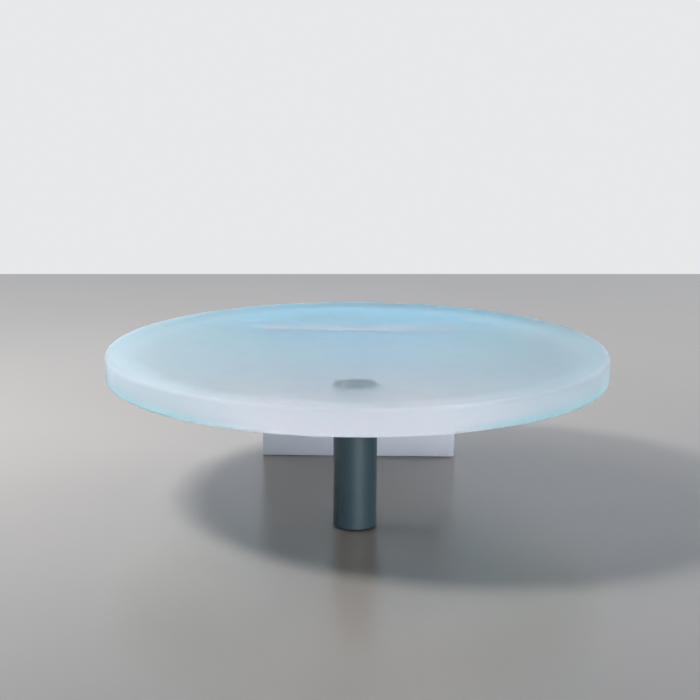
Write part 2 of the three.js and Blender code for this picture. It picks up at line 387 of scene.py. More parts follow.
pebble_group, start, end = new_group(
    "fine pebble",
    [("Place", "NodeSocketVector", None), ("Pebble Size", "NodeSocketFloat", 0.001)],
    [("Height", "NodeSocketFloat")],
)
pebbles = maths(pebble_group, "DIVIDE", 1.0, start.outputs["Pebble Size"])
grains = add(pebble_group, "ShaderNodeTexNoise", noise_dimensions="3D")
grains.inputs["Detail"].default_value = 2.0
put(pebble_group, start.outputs["Place"], grains.inputs["Vector"])
put(pebble_group, pebbles, grains.inputs["Scale"])
put(pebble_group, grains.outputs["Fac"], end.inputs["Height"])


def tone_of(tree, place, patch, low, high):
    """The soft mottle's tone, from low to high, in patches of one size in metres."""
    mottle = use_group(tree, mottle_group, Place=place, Patch_Size=patch, Low=low, High=high)
    return mottle.outputs["Tone"]


def mottled(tree, place, colour, patch, low, high):
    """A colour multiplied by that tone."""
    return mix_colours(tree, 1.0, colour, tone_of(tree, place, patch, low, high), "MULTIPLY")


def pebbled(tree, place, size, depth):
    """A normal that shows pebbles of one size and depth."""
    pebble = use_group(tree, pebble_group, Place=place, Pebble_Size=size)
    return bump(tree, pebble.outputs["Height"], depth)


print("groups:", [group.name for group in bpy.data.node_groups])

# %% [markdown]
# ## The floor and the wall's light
#
# The table stands on a plain pale floor that ends where the photo shows the foot of a pale wall. The wall
# itself isn't modelled. The world shines like it from that side, and much less from round about, so the
# table is lit by it, matt resin and paint can mirror it, and no view is blocked by a real wall. From
# above it is faintly blue, which the resin picks up. Matt surfaces get it without the blue, so the floor
# stays grey.

# %% Floor
wall_distance = 3.036
wall_turn = math.radians(2.59)
floor_reach = 24.0
floor_half = Vector((floor_reach, (floor_reach + wall_distance) / 2, 1.0))
floor_mesh = bmesh.new()
bmesh.ops.create_grid(floor_mesh, x_segments=1, y_segments=1, size=1.0)
bmesh.ops.scale(floor_mesh, vec=floor_half, verts=floor_mesh.verts[:])
move_all(floor_mesh, y=(wall_distance - floor_reach) / 2)
wall_line = Matrix.Rotation(wall_turn, 3, "Z")
bmesh.ops.rotate(floor_mesh, cent=(0, 0, 0), matrix=wall_line, verts=floor_mesh.verts[:])
floor_data = bpy.data.meshes.new("studio_floor")
floor_mesh.to_mesh(floor_data)
floor_mesh.free()
floor = bpy.data.objects.new("studio_floor", floor_data)
bpy.context.scene.collection.objects.link(floor)

pale_concrete = (0.248, 0.228, 0.208)
floor_paint, tree, shader, place = new_material("studio floor")
floor_colour = mottled(tree, place, pale_concrete, patch=1.4, low=0.95, high=1.05)
put(tree, floor_colour, shader.inputs["Base Color"])
shader.inputs["Roughness"].default_value = 0.25
floor_data.materials.append(floor_paint)
print("the floor ends", wall_distance, "m behind the table")

# %% World
world = bpy.data.worlds.new("pale studio")
world.use_nodes = True
bpy.context.scene.world = world
bpy.context.scene.view_settings.view_transform = "Standard"
tree = world.node_tree
sky = tree.nodes["Background"]
wall_white = (0.80, 0.81, 0.82)
sky_blue = (0.62, 0.79, 1.0)
sky_strength = 0.29
direction = axes_of(tree, add(tree, "ShaderNodeTexCoord").outputs["Generated"])
behind = spread(tree, direction["Y"], 0.35, 0.6)
not_high = spread(tree, direction["Z"], 0.62, 0.45)
wall_light = maths(tree, "MULTIPLY", behind, not_high)
put(tree, maths(tree, "MAXIMUM", wall_light, sky_strength), sky.inputs["Strength"])
overhead = spread(tree, direction["Z"], 0.1, 0.4)
onto_matt = add(tree, "ShaderNodeLightPath").outputs["Is Diffuse Ray"]
blue_share = maths(tree, "MULTIPLY", overhead, maths(tree, "SUBTRACT", 1.0, onto_matt))
put(tree, mix_colours(tree, blue_share, wall_white, sky_blue), sky.inputs["Color"])
print("world:", world.name)

# %% [markdown]
# ## The lamps
#
# Six soft area lamps do the rest. A large one high at the back left stands for a window, and a small one
# nearer by draws the edge of the shadow. One at the back right keeps that side of the disc alight. Two
# wide, low ones in front light the rim and the slab and give the painted tube its upright sheen, and one
# high above the front edge brightens its round. Those three leave the floor out by light linking, as
# flags would in a studio, so that the floor neither mirrors them nor loses its shadow. No lamp is seen
# itself when the table is looked at from another side, and the small left one isn't mirrored either,
# because it would leave a glaring patch on the floor.

# %% Lamps
neutral = (1.0, 1.0, 1.0)
cool = (0.86, 0.93, 1.0)
lamps = [
    ("window", (-2.8, 2.2, 3.6), 2.2, 2.2, 98.0, neutral),
    ("left", (-2.1, 0.35, 2.6), 0.7, 0.7, 142.0, neutral),
    ("back_right", (2.6, 2.6, 2.2), 1.5, 1.5, 62.0, neutral),
    ("front_right", (2.4, -4.4, 1.0), 3.0, 1.6, 94.0, cool),
    ("front_low", (1.6, -5.2, 0.75), 3.0, 1.2, 184.0, cool),
    ("front_high", (0.3, -1.0, 3.4), 1.0, 0.5, 24.0, cool),
]
lamp_aim = Vector((0.0, -0.1, 0.2))
kept_dark = bpy.data.collections.new("kept out of the front light")
kept_dark.objects.link(floor)
kept_dark.collection_objects[0].light_linking.link_state = "EXCLUDE"
for name, lamp_place, width, height, power, colour in lamps:
    lamp = bpy.data.lights.new(name, "AREA")
    lamp.shape = "RECTANGLE"
    lamp.size = width
    lamp.size_y = height
    lamp.energy = power
    lamp.color = colour
    holder = bpy.data.objects.new(name, lamp)
    towards = (lamp_aim - Vector(lamp_place)).to_track_quat("-Z", "Y").to_matrix().to_4x4()
    holder.matrix_world = Matrix.Translation(lamp_place) @ towards
    holder.visible_camera = False
    holder.visible_glossy = name != "left"
    if name.startswith("front"):
        holder.light_linking.receiver_collection = kept_dark
    bpy.context.scene.collection.objects.link(holder)
print("lamps:", [lamp[0] for lamp in lamps])

# %% [markdown]
# ## The disc
#
# The top is one thick casting, sanded to an even matt face, with both rims rounded to about 10 mm. A
# turned profile would do, but a capped circle that is extruded and bevelled is as smooth and shows its
# sizes at a glance. The blind holes in its underside are real, because the resin is clear enough for them
# to matter.

# %% Disc mesh
top_low, top_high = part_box("top")
tube_axis = middle_of("leg_tube")
rim_steps = 256
top_edge_radius = 10 * mm
screw_count = 4
dowel_count = 3
insert_places = [middle_of(f"leg_insert_{i + 1}") for i in range(screw_count)]
dowel_places = [middle_of(f"slab_dowel_{i + 1}") for i in range(dowel_count)]
insert_hole_radius = 6.17 * mm
insert_hole_depth = 22 * mm
dowel_hole_radius = 7.97 * mm
dowel_hole_depth = 29.85 * mm

disc = bmesh.new()
bmesh.ops.create_circle(
    disc, cap_ends=True, radius=top_high.x, segments=rim_steps, matrix=at(z=top_low.z))
raise_faces(disc, top_high.z - top_low.z)
bevel_edges(disc, level_edges(disc), top_edge_radius, edge_steps)
flat_faces = [face for face in disc.faces if len(face.verts) == rim_steps]
lower_face = min(flat_faces, key=lambda face: face.calc_center_median().z)
holes = [(p.x, p.y, insert_hole_radius, hole_steps, insert_hole_depth) for p in insert_places]
holes += [(p.x, p.y, dowel_hole_radius, hole_steps, dowel_hole_depth) for p in dowel_places]
blind_holes(disc, lower_face, holes)
print("disc:", len(disc.faces), "faces,", len(holes), "blind holes")

# %% [markdown]
# ## Frosted sky-blue resin
#
# Matt cast resin lets light through but blurs what is behind it, so the tube's end shows only as a soft
# dark spot. The Principled shader has that as rough transmission, and a scattering volume adds the haze
# of the body. A full subsurface shader would hide the spot, and a clear one would show it too sharply.

# %% Cast resin helpers
def resin_material(name, haze_colour, haze_density):
    """Cast resin with a fine sanded relief and a haze of small particles all through the body."""
    material, tree, shader, place = new_material(name)
    put(tree, pebbled(tree, place, size=1.2 * mm, depth=0.03 * mm), shader.inputs["Normal"])
    shader.inputs["IOR"].default_value = 1.5
    shader.inputs["Transmission Weight"].default_value = 1.0
    haze = add(tree, "ShaderNodeVolumeScatter")
    haze.inputs["Color"].default_value = (*haze_colour, 1.0)
    haze.inputs["Density"].default_value = haze_density
    output = next(node for node in tree.nodes if node.type == "OUTPUT_MATERIAL")
    put(tree, haze.outputs["Volume"], output.inputs["Volume"])
    return material, tree, shader, place, axes_of(tree, place), haze


def cloudy(tree, place, colour):
    """A colour with the slow cloudiness of a big casting."""
    return mottled(tree, place, colour, patch=0.35, low=0.97, high=1.03)


def off_centre(tree, place):
    """How far a point is from the Z axis."""
    flattened = add(tree, "ShaderNodeVectorMath", operation="MULTIPLY")
    put(tree, place, flattened.inputs[0])
    flattened.inputs[1].default_value = (1.0, 1.0, 0.0)
    length = add(tree, "ShaderNodeVectorMath", operation="LENGTH")
    put(tree, flattened.outputs["Vector"], length.inputs[0])
    return length.outputs["Value"]


bpy.context.scene.cycles.volume_bounces = 12
bpy.context.scene.cycles.max_bounces = 24
bpy.context.scene.cycles.transmission_bounces = 24

# %% [markdown]
# ## The disc's colour
#
# The colour changes from sky blue at the back to nearly white in front. That change is partly a tint
# cast into the resin and partly painted light that makes the front lighter. Painted light makes the left
# side paler, and painted shade makes the right side greyer. The rim is a lavender white. Towards its ends
# and towards the bottom it is painted grey as painted shade, and a cyan line low down at both sides is a
# painted glint. A ramp along Y gives the main change and masks mix the rest in. Light that comes to the
# disc by way of the floor meets a neutral grey instead, because the photo's shadow has no blue in it.
# Diffuse Depth of the Light Path node tells the two apart.

# %% Disc colour
# The ramp along Y is partly the tint cast into the resin and partly painted light: the front is painted
# lighter.
ombre_and_painted_light = [
    (0.0, (1.0, 0.97, 1.0)), (0.12, (0.96, 0.96, 1.0)), (0.3, (0.79, 0.92, 1.0)),
    (0.55, (0.64, 0.88, 1.0)), (0.85, (0.39, 0.80, 1.0)), (1.0, (0.34, 0.79, 1.0)),
]
# Painted light makes the disc's left side paler, and painted shade makes its right side greyer.
painted_left_light = (0.97, 0.95, 1.0)
painted_left_light_share = 0.35
painted_right_shade = (0.58, 0.68, 0.74)
painted_right_shade_share = 0.7
rim_lavender = (0.90, 0.79, 0.84)
lavender_share = 0.5
# Painted shade: the rim is painted grey towards its ends, more so towards the bottom.
painted_rim_shade = (0.60, 0.64, 0.68)
rim_shade_share_high = 0.45
rim_shade_share_low = 0.85
# Painted glint: a cyan line painted low on the rim at both sides.
painted_cyan_glint = (0.42, 0.72, 0.74)
body_haze = (0.52, 0.88, 1.0)
shade_tint = (0.32, 0.30, 0.28)
shade_haze = (0.36, 0.34, 0.32)
flat_radius = top_high.x - top_edge_radius
rim_blend = 4 * mm
blue_resin, tree, shader, place, axes, haze = resin_material(
    "frosted sky-blue resin", haze_colour=body_haze, haze_density=2.0)
from_front = spread(tree, axes["Y"], -top_high.x, top_high.x, smooth=False)
disc_tint_and_painted_light = colour_ramp(tree, from_front, ombre_and_painted_light)
# Mix in the painted light on the left and the painted shade on the right.
painted_left_light_mask = spread(tree, axes["X"], -0.2, -0.6, to_high=painted_left_light_share)
disc_tint_and_painted_light = mix_colours(tree, painted_left_light_mask, disc_tint_and_painted_light, painted_left_light)
painted_right_shade_mask = spread(tree, axes["X"], 0.3, 0.6, to_high=painted_right_shade_share)
disc_tint_and_painted_light = mix_colours(tree, painted_right_shade_mask, disc_tint_and_painted_light, painted_right_shade)
from_axis = off_centre(tree, place)
on_rim = spread(tree, from_axis, flat_radius - rim_blend, flat_radius + rim_blend)
disc_tint_and_painted_light = mix_colours(tree, maths(tree, "MULTIPLY", on_rim, lavender_share), disc_tint_and_painted_light, rim_lavender)
off_middle = maths(tree, "ABSOLUTE", axes["X"])
# Painted shade on the rim's ends, heavier towards the bottom.
rim_shade_ends_mask = maths(tree, "MULTIPLY", on_rim, spread(tree, off_middle, 0.15, 0.5))
rim_shade_towards_bottom = spread(
    tree, axes["Z"], top_high.z - 10 * mm, top_low.z + 15 * mm, rim_shade_share_high, rim_shade_share_low)
disc_tint_and_painted_light = mix_colours(tree, maths(tree, "MULTIPLY", rim_shade_ends_mask, rim_shade_towards_bottom), disc_tint_and_painted_light, painted_rim_shade)
# Painted cyan glint, low on the rim at both sides.
glint_height_mask = spread(tree, axes["Z"], top_low.z + 30 * mm, top_low.z + 4 * mm)
glint_side_mask = spread(tree, off_middle, 0.16, 0.4)
painted_glint_mask = maths(tree, "MULTIPLY", glint_height_mask, glint_side_mask)
# The disc's colour: the cast tint together with the painted light, shade and glint mixed in above.
disc_colour_with_painted_light = cloudy(tree, place, mix_colours(tree, painted_glint_mask, disc_tint_and_painted_light, painted_cyan_glint))
whose_light = add(tree, "ShaderNodeLightPath")
by_the_floor = maths(tree, "GREATER_THAN", whose_light.outputs["Diffuse Depth"], 0.5)
put(tree, mix_colours(tree, by_the_floor, disc_colour_with_painted_light, shade_tint), shader.inputs["Base Color"])
put(tree, mix_colours(tree, by_the_floor, body_haze, shade_haze), haze.inputs["Color"])
print(blue_resin.name, "has", len(tree.nodes), "nodes so far")

# %% [markdown]
# ## The disc's frost
#
# The upper face is sanded fine in the middle and coarser towards the rim, and the rim and the underside
# are coarse. That keeps the spot's outline readable, lets the rim catch light softly without a hard line,
# and makes the underside glow evenly. Roughness is the only socket that says so, so the masks are added
# up there.

# %% Disc frost
top_frost = 0.35
outer_frost = 0.57
coarser_from = 0.5
rim_frost = 0.8
underside_frost = 0.6
near_top = spread(tree, axes["Z"], top_high.z - 1.2 * mm, top_high.z - 0.1 * mm)
near_bottom = spread(tree, axes["Z"], top_low.z + 9 * mm, top_low.z + 1 * mm)
outwards = spread(
    tree, from_axis, coarser_from, top_high.x, top_frost - rim_frost, outer_frost - rim_frost)
finer_top = maths(tree, "MULTIPLY", near_top, outwards)
finer_underside = maths(tree, "MULTIPLY", near_bottom, underside_frost - rim_frost)
frost_share = maths(tree, "ADD", maths(tree, "ADD", finer_top, finer_underside), rim_frost)
sanding = tone_of(tree, place, patch=0.05, low=0.95, high=1.05)
put(tree, maths(tree, "MULTIPLY", frost_share, sanding), shader.inputs["Roughness"])
finish_piece("resin_disc", disc, blue_resin, ["top"])

# %% [markdown]
# ## The slab leg
#
# The wide leg is a second casting, paler than the disc. It starts as a cube that is stretched to the size
# of its solid. The upright edges get the same round as the disc's rim, and the foot a smaller one.

# %% Slab mesh
slab_low, slab_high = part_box("slab_leg")
slab_corner_radius = 10 * mm
slab_foot_radius = 2 * mm
slab_foot_steps = 4
slab = block(slab_low, slab_high)
bevel_edges(slab, upright_edges(slab), slab_corner_radius, edge_steps)
foot = [edge for edge in slab.edges if all(vert.co.z < slab_low.z + mm for vert in edge.verts)]
bevel_edges(slab, foot, slab_foot_radius, slab_foot_steps)
upper_face = max(slab.faces, key=lambda face: face.calc_center_median().z)
holes = [(p.x, p.y, dowel_hole_radius, hole_steps, -dowel_hole_depth) for p in dowel_places]
blind_holes(slab, upper_face, holes)
print("slab:", len(slab.faces), "faces,", len(holes), "blind holes")

# %% [markdown]
# ## The slab's paler resin
#
# The slab is the same kind of resin with far more white in it, so that it glows but shows nothing behind
# it. White plastic with some subsurface would hide its inside too, but would look like another material
# beside the disc. The disc's own helper, with a haze nearly twenty times as dense, keeps the two alike.
# The slab's left end is painted slightly darker, as painted shade where less light falls on it.

# %% Slab material
slab_tint = (0.96, 0.94, 1.0)
slab_haze = (0.96, 0.98, 1.0)
painted_shade_tone = 0.8
painted_shade_reach = 200 * mm
pale_resin, tree, shader, place, axes, haze = resin_material(
    "frosted pale resin", haze_colour=slab_haze, haze_density=38.0)
put(tree, tone_of(tree, place, patch=0.05, low=0.42, high=0.5), shader.inputs["Roughness"])
# Painted shade: the tint is darker towards the slab's left end.
painted_shade_factor = spread(
    tree, axes["X"], slab_low.x, slab_low.x + painted_shade_reach, painted_shade_tone, 1.0, smooth=False)
tint_with_painted_shade = mix_colours(tree, 1.0, slab_tint, painted_shade_factor, "MULTIPLY")
put(tree, cloudy(tree, place, tint_with_painted_shade), shader.inputs["Base Color"])
finish_piece("resin_slab", slab, pale_resin, ["slab_leg"])

# %% [markdown]
# ## The glue line
#
# The slab is glued to the disc with a milky adhesive, which shows through the disc as a pale band. The
# sheet of glue is only 0.3 mm thick, but it has to be there: bare slab under bare disc would leave a film
# of air, and that mirrors at this angle and looks dark. It reaches a hair into the disc, so that no air
# is left. The slab pipes some of the light that falls on its faces up to this joint, more than its dense
# haze lets through in a render. A weak, pinkish emission of the upper side stands for that light. It
# fades towards both ends, and sooner on the left, as the band in the photo does.

# %% Glue line
glue_bite = 0.03 * mm
glue_inset = 0.5 * mm
glue_low = Vector((slab_low.x + glue_inset, slab_low.y + glue_inset, slab_high.z))
glue_high = Vector((slab_high.x - glue_inset, slab_high.y - glue_inset, top_low.z + glue_bite))
glue = block(glue_low, glue_high)
bevel_edges(glue, upright_edges(glue), slab_corner_radius - glue_inset, edge_steps)
no_light = (0.0, 0.0, 0.0)
milk_white = (1.0, 0.92, 0.94)
piped_light = (0.03, 0.016, 0.02)
left_fade = 70 * mm
right_fade = 20 * mm
milky_glue, tree, shader, place = new_material("milky adhesive")
put(tree, mottled(tree, place, milk_white, patch=0.03, low=0.96, high=1.0), shader.inputs["Base Color"])
shader.inputs["Roughness"].default_value = 0.7
axes = axes_of(tree, place)
upper_side = spread(tree, axes["Z"], glue_high.z - 0.1 * mm, glue_high.z - 0.02 * mm)
off_left_end = spread(tree, axes["X"], slab_low.x, slab_low.x + left_fade)
off_right_end = spread(tree, axes["X"], slab_high.x, slab_high.x - right_fade)
lit_part = maths(tree, "MULTIPLY", upper_side, maths(tree, "MULTIPLY", off_left_end, off_right_end))
put(tree, mix_colours(tree, lit_part, no_light, piped_light), shader.inputs["Emission Color"])
shader.inputs["Emission Strength"].default_value = 1.0
finish_piece("glue_line", glue, milky_glue, [])

# %% [markdown]
# ## The tube leg
#
# The front leg is a length of steel tube, powder coated in a dark blue-grey. Its wall is drawn once as a
# narrow upright rectangle, the two outer corners are eased, and the outline is turned about the tube's
# axis.

# %% Tube mesh
tube_low, tube_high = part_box("leg_tube")
tube_radius = (tube_high.x - tube_low.x) / 2
tube_wall = 3 * mm
tube_edge_radius = 0.8 * mm
tube_edge_steps = 3
tube_steps = 160
tube = bmesh.new()
wall_outline = [(tube_radius, tube_low.z), (tube_radius, tube_high.z),
                (tube_radius - tube_wall, tube_high.z), (tube_radius - tube_wall, tube_low.z)]
corners, edges = profile_points(tube, wall_outline, closed=True)
round_corners(tube, corners[:2], tube_edge_radius, tube_edge_steps)
turn(tube, tube_steps)
move_all(tube, y=tube_axis.y)
print("tube:", len(tube.faces), "faces,", round(2 * tube_radius / mm, 1), "mm across")

# %% [markdown]
# ## Powder coat
#
# Powder paint is dusted on dry and baked, which leaves a satin skin with a very fine orange peel. The
# shader's Coat would suit a clear lacquer over a colour, but powder coat is a single layer. So the dark
# colour and a middling roughness are the paint itself, both drift a little from place to place, and fine
# pebbles give the peel.

# %% Paint
coat_colour = (0.024, 0.046, 0.054)
painted_steel, tree, shader, place = new_material("blue-grey powder coat")
put(tree, mottled(tree, place, coat_colour, patch=0.06, low=0.94, high=1.06), shader.inputs["Base Color"])
put(tree, tone_of(tree, place, patch=0.02, low=0.46, high=0.53), shader.inputs["Roughness"])
put(tree, pebbled(tree, place, size=1.5 * mm, depth=0.04 * mm), shader.inputs["Normal"])
finish_piece("steel_tube", tube, painted_steel, ["leg_tube"])

# %% [markdown]
# ## The gasket
#
# A thin rubber sheet keeps the steel off the resin. Its upper face is glued, so that the resin is wet by
# it and it can be seen from inside, past the angle at which a bare face would only mirror. The mesh
# therefore reaches a hair into the disc.

# %% Gasket mesh
gasket_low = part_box("leg_gasket")[0]
screw_places = [middle_of(f"leg_screw_{i + 1}") for i in range(screw_count)]
clearance_radius = 4.5 * mm
rubber_colour = (0.004, 0.022, 0.034)


def drilled_plate(radius, bottom, top, axis_y, holes, steps):
    """A round plate with round through holes of (x, y, radius)."""
    plate = bmesh.new()
    outline = [(0.0, axis_y, radius, steps)]
    outline += [(x, y, hole_radius, hole_steps) for x, y, hole_radius in holes]
    for x, y, ring_radius, ring_steps in outline:
        bmesh.ops.create_circle(
            plate, cap_ends=False, radius=ring_radius, segments=ring_steps, matrix=at(x, y, bottom))
    bmesh.ops.triangle_fill(plate, use_beauty=True, use_dissolve=False, edges=plate.edges[:])
    raise_faces(plate, top - bottom)
    return plate


screw_holes = [(p.x, p.y, clearance_radius) for p in screw_places]
gasket_top = top_low.z + glue_bite
gasket = drilled_plate(tube_radius, gasket_low.z, gasket_top, tube_axis.y, screw_holes, tube_steps)
rubber, tree, shader, place = new_material("blue-grey sheet rubber")
put(tree, mottled(tree, place, rubber_colour, patch=0.02, low=0.9, high=1.1), shader.inputs["Base Color"])
shader.inputs["Roughness"].default_value = 0.75
finish_piece("rubber_gasket", gasket, rubber, ["leg_gasket"])

# %% [markdown]
# ## The plate in the tube's upper end
#
# A round steel plate is welded flush into the tube and painted with it. It carries the four screws. The
# same drilled plate helper makes it, and its edges get the small chamfer of a turned part.

# %% Top plate
plate_low, plate_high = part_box("leg_top_plate")
plate_radius = (plate_high.x - plate_low.x) / 2
plate_chamfer = 0.4 * mm
plate_steps = 96
plate = drilled_plate(plate_radius, plate_low.z, plate_high.z, tube_axis.y, screw_holes, plate_steps)
plate_corners = [edge for edge in level_edges(plate) if edge.calc_face_angle(0.0) > sharp_angle]
bevel_edges(plate, plate_corners, plate_chamfer, segments=1)
finish_piece("weld_plate", plate, painted_steel, ["leg_top_plate"])

# %% [markdown]
# ## Turning marks
#
# A lathe leaves fine rings on whatever it cuts. The screws, washers and inserts share this group, which
# gives rings one above another on their barrels. It works from height alone. Rings on a flat face would
# need each piece's own axis, and those faces are hidden under a head or in the resin.

# %% Turning marks
turning_group, start, end = new_group(
    "turning marks",
    [("Place", "NodeSocketVector", None), ("Ring Spacing", "NodeSocketFloat", 0.0003)],
    [("Height", "NodeSocketFloat")],
)
height = axes_of(turning_group, start.outputs["Place"])["Z"]
rings = maths(turning_group, "DIVIDE", height, start.outputs["Ring Spacing"])
ring_noise = add(turning_group, "ShaderNodeTexNoise", noise_dimensions="1D")
ring_noise.inputs["Scale"].default_value = 1.0
put(turning_group, rings, ring_noise.inputs["W"])
put(turning_group, ring_noise.outputs["Fac"], end.inputs["Height"])


def machined_metal(name, colour, tint, rough_low, rough_high):
    """Bare or plated metal: a tint that drifts in patches, uneven polish and turning marks."""
    material, tree, shader, place = new_material(name)
    drift = tone_of(tree, place, patch=0.008, low=0.0, high=1.0)
    put(tree, mix_colours(tree, drift, colour, tint), shader.inputs["Base Color"])
    polish = tone_of(tree, place, patch=0.003, low=rough_low, high=rough_high)
    put(tree, polish, shader.inputs["Roughness"])
    marks = use_group(tree, turning_group, Place=place, Ring_Spacing=0.3 * mm)
    put(tree, bump(tree, marks.outputs["Height"], 0.02 * mm), shader.inputs["Normal"])
    shader.inputs["Metallic"].default_value = 1.0
    return material


zinc_steel = machined_metal(
    "zinc-plated steel", (0.60, 0.61, 0.63), tint=(0.66, 0.65, 0.60), rough_low=0.28, rough_high=0.42)
insert_brass = machined_metal(
    "turned brass", (0.72, 0.56, 0.30), tint=(0.66, 0.49, 0.24), rough_low=0.26, rough_high=0.40)
print("metals:", zinc_steel.name, "and", insert_brass.name)

# %% [markdown]
# ## Four socket-head screws
#
# Each M8 screw is driven up from inside the tube, so its head is below. The thread is one zigzag pitch
# that spin turns and lifts at the same time, until its turns join into a screw thread. Two bisect_plane
# cuts trim it, the cut at the tip is drawn in to a chamfer, and the head is built down from the cut at
# the seat. Every second upright edge of the head is drawn in a little, which makes the knurl.

# %% Screw mesh
screw_low, screw_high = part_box("leg_screw_1")
washer_low, washer_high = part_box("leg_washer_1")
solid_gap = 0.3 * mm
seat_height = washer_low.z - solid_gap
thread_crest = 4.0 * mm
thread_root = 3.4 * mm
thread_pitch = 1.25 * mm
thread_steps = 20
crest_from = 0.45 * thread_pitch
crest_to = 0.55 * thread_pitch
tip_chamfer = 1.2 * mm
head_radius = 6.5 * mm
head_chamfer = 0.6 * mm
head_facets = 60
knurl_share = 0.975
socket_key = 6 * mm
socket_sides = 6
socket_corner = socket_key / math.sqrt(3)
socket_depth = 4 * mm


def rim_at(mesh, height):
    return [edge for edge in mesh.edges if len(edge.link_faces) == 1
            and all(abs(vert.co.z - height) < merge_distance for vert in edge.verts)]


def cut_level(mesh, height, keep_below):
    """Cuts everything above, or below, one height away and gives the open rim that is left."""
    bmesh.ops.bisect_plane(
        mesh, geom=mesh.verts[:] + mesh.edges[:] + mesh.faces[:], dist=merge_distance / 10,
        plane_co=(0, 0, height), plane_no=(0, 0, 1), clear_outer=keep_below, clear_inner=not keep_below,
    )
    return rim_at(mesh, height)


def socket_screw():
    """One screw on the Z axis, head down."""
    mesh = bmesh.new()
    turns = math.ceil((screw_high.z - seat_height) / thread_pitch) + 2
    foot = seat_height - thread_pitch
    zigzag = [(thread_root, foot), (thread_crest, foot + crest_from),
              (thread_crest, foot + crest_to), (thread_root, foot + thread_pitch)]
    corners, edges = profile_points(mesh, zigzag)
    bmesh.ops.spin(
        mesh, geom=corners + edges, cent=(0, 0, 0), axis=(0, 0, 1), angle=full_turn * turns,
        steps=thread_steps * turns, dvec=(0, 0, thread_pitch / thread_steps), use_merge=False,
    )
    bmesh.ops.remove_doubles(mesh, verts=mesh.verts[:], dist=merge_distance)
    tip = cut_level(mesh, screw_high.z - tip_chamfer, keep_below=True)
    tip = draw_out(mesh, tip, tip_chamfer, 1 - tip_chamfer / thread_crest)
    bmesh.ops.edgeloop_fill(mesh, edges=tip)
    neck = cut_level(mesh, seat_height, keep_below=False)
    circle = bmesh.ops.create_circle(
        mesh, cap_ends=False, radius=head_radius, segments=head_facets, matrix=at(z=seat_height))["verts"]
    edge_of_head = edges_at(circle)
    bmesh.ops.triangle_fill(mesh, use_beauty=True, use_dissolve=False, edges=neck + edge_of_head)
    side = screw_low.z + head_chamfer - seat_height
    lower = draw_out(mesh, edge_of_head, side)
    barrel = list(dict.fromkeys([vert for edge in lower for vert in edge.verts] + circle))
    draw_in_knurl(mesh, barrel, head_facets, knurl_share)
    lower = draw_out(mesh, lower, -head_chamfer, 1 - head_chamfer / head_radius)
    face = bmesh.ops.edgeloop_fill(mesh, edges=lower)["faces"][0]
    blind_holes(mesh, face, [(0.0, 0.0, socket_corner, socket_sides, socket_depth)])
    return mesh


for i, p in enumerate(screw_places):
    screw = socket_screw()
    move_all(screw, x=p.x, y=p.y)
    finish_piece(f"socket_screw_{i + 1}", screw, zinc_steel, [f"leg_screw_{i + 1}"])

# %% [markdown]
# ## The washers
#
# A stamped washer has one crisp and one rolled edge, so only the lower outer corner and the bore are
# eased. The outline of its cut is drawn once and turned.

# %% Washer mesh
washer_radius = (washer_high.x - washer_low.x) / 2
washer_bore = 4.3 * mm
washer_edge_radius = 0.4 * mm
washer_edge_steps = 3
washer_steps = 48
for i, p in enumerate(screw_places):
    washer = bmesh.new()
    outline = [(washer_radius, washer_low.z), (washer_radius, washer_high.z),
               (washer_bore, washer_high.z), (washer_bore, washer_low.z)]
    corners, edges = profile_points(washer, outline, closed=True)
    round_corners(washer, [corners[0], corners[3]], washer_edge_radius, washer_edge_steps)
    turn(washer, washer_steps)
    move_all(washer, x=p.x, y=p.y)
    finish_piece(f"washer_{i + 1}", washer, zinc_steel, [f"leg_washer_{i + 1}"])

# %% [markdown]
# ## The brass inserts
#
# Inserts for cast resin have two knurled bands that grip, and grooves that lock them against being pulled
# out. The profile is turned in fine steps, and then every second point on the bands is drawn in for the
# knurl. The resin closes round the bands, which is why the disc's holes are a hair smaller than they are.

# %% Insert mesh
insert_low, insert_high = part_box("leg_insert_1")
insert_radius = (insert_high.y - insert_low.y) / 2
insert_groove = 0.8 * mm
insert_rim = 2 * mm
insert_band = 5 * mm
insert_bore = 4.3 * mm
insert_steps = 48
insert_knurl_share = 0.96
knurl_margin = 0.1 * mm
band_low = insert_low.z + insert_rim + insert_groove
band_high = insert_high.z - insert_band
groove_radius = insert_radius - insert_groove
insert_outline = [
    (insert_bore, insert_high.z), (groove_radius, insert_high.z),
    (insert_radius, insert_high.z - insert_groove), (insert_radius, band_high),
    (groove_radius, band_high), (groove_radius, band_low + insert_band),
    (insert_radius, band_low + insert_band), (insert_radius, band_low),
    (groove_radius, band_low), (groove_radius, insert_low.z + insert_rim),
    (insert_radius, insert_low.z + insert_rim), (insert_radius, insert_low.z),
    (insert_bore, insert_low.z),
]
for i, p in enumerate(insert_places):
    insert = bmesh.new()
    profile_points(insert, insert_outline, closed=True)
    turn(insert, insert_steps)
    on_bands = [vert for vert in insert.verts
                if math.hypot(vert.co.x, vert.co.y) > insert_radius - knurl_margin
                and vert.co.z > band_low - knurl_margin]
    draw_in_knurl(insert, on_bands, insert_steps, insert_knurl_share)
    move_all(insert, x=p.x, y=p.y)
    finish_piece(f"brass_insert_{i + 1}", insert, insert_brass, [f"leg_insert_{i + 1}"])

# %% [markdown]
# ## The clear dowels
#
# Three acrylic rods line the slab up with the disc and hold it. They are clear so that they don't show as
# dark pegs through the pale resin. A capped circle is extruded, and both ends get a plain chamfer.

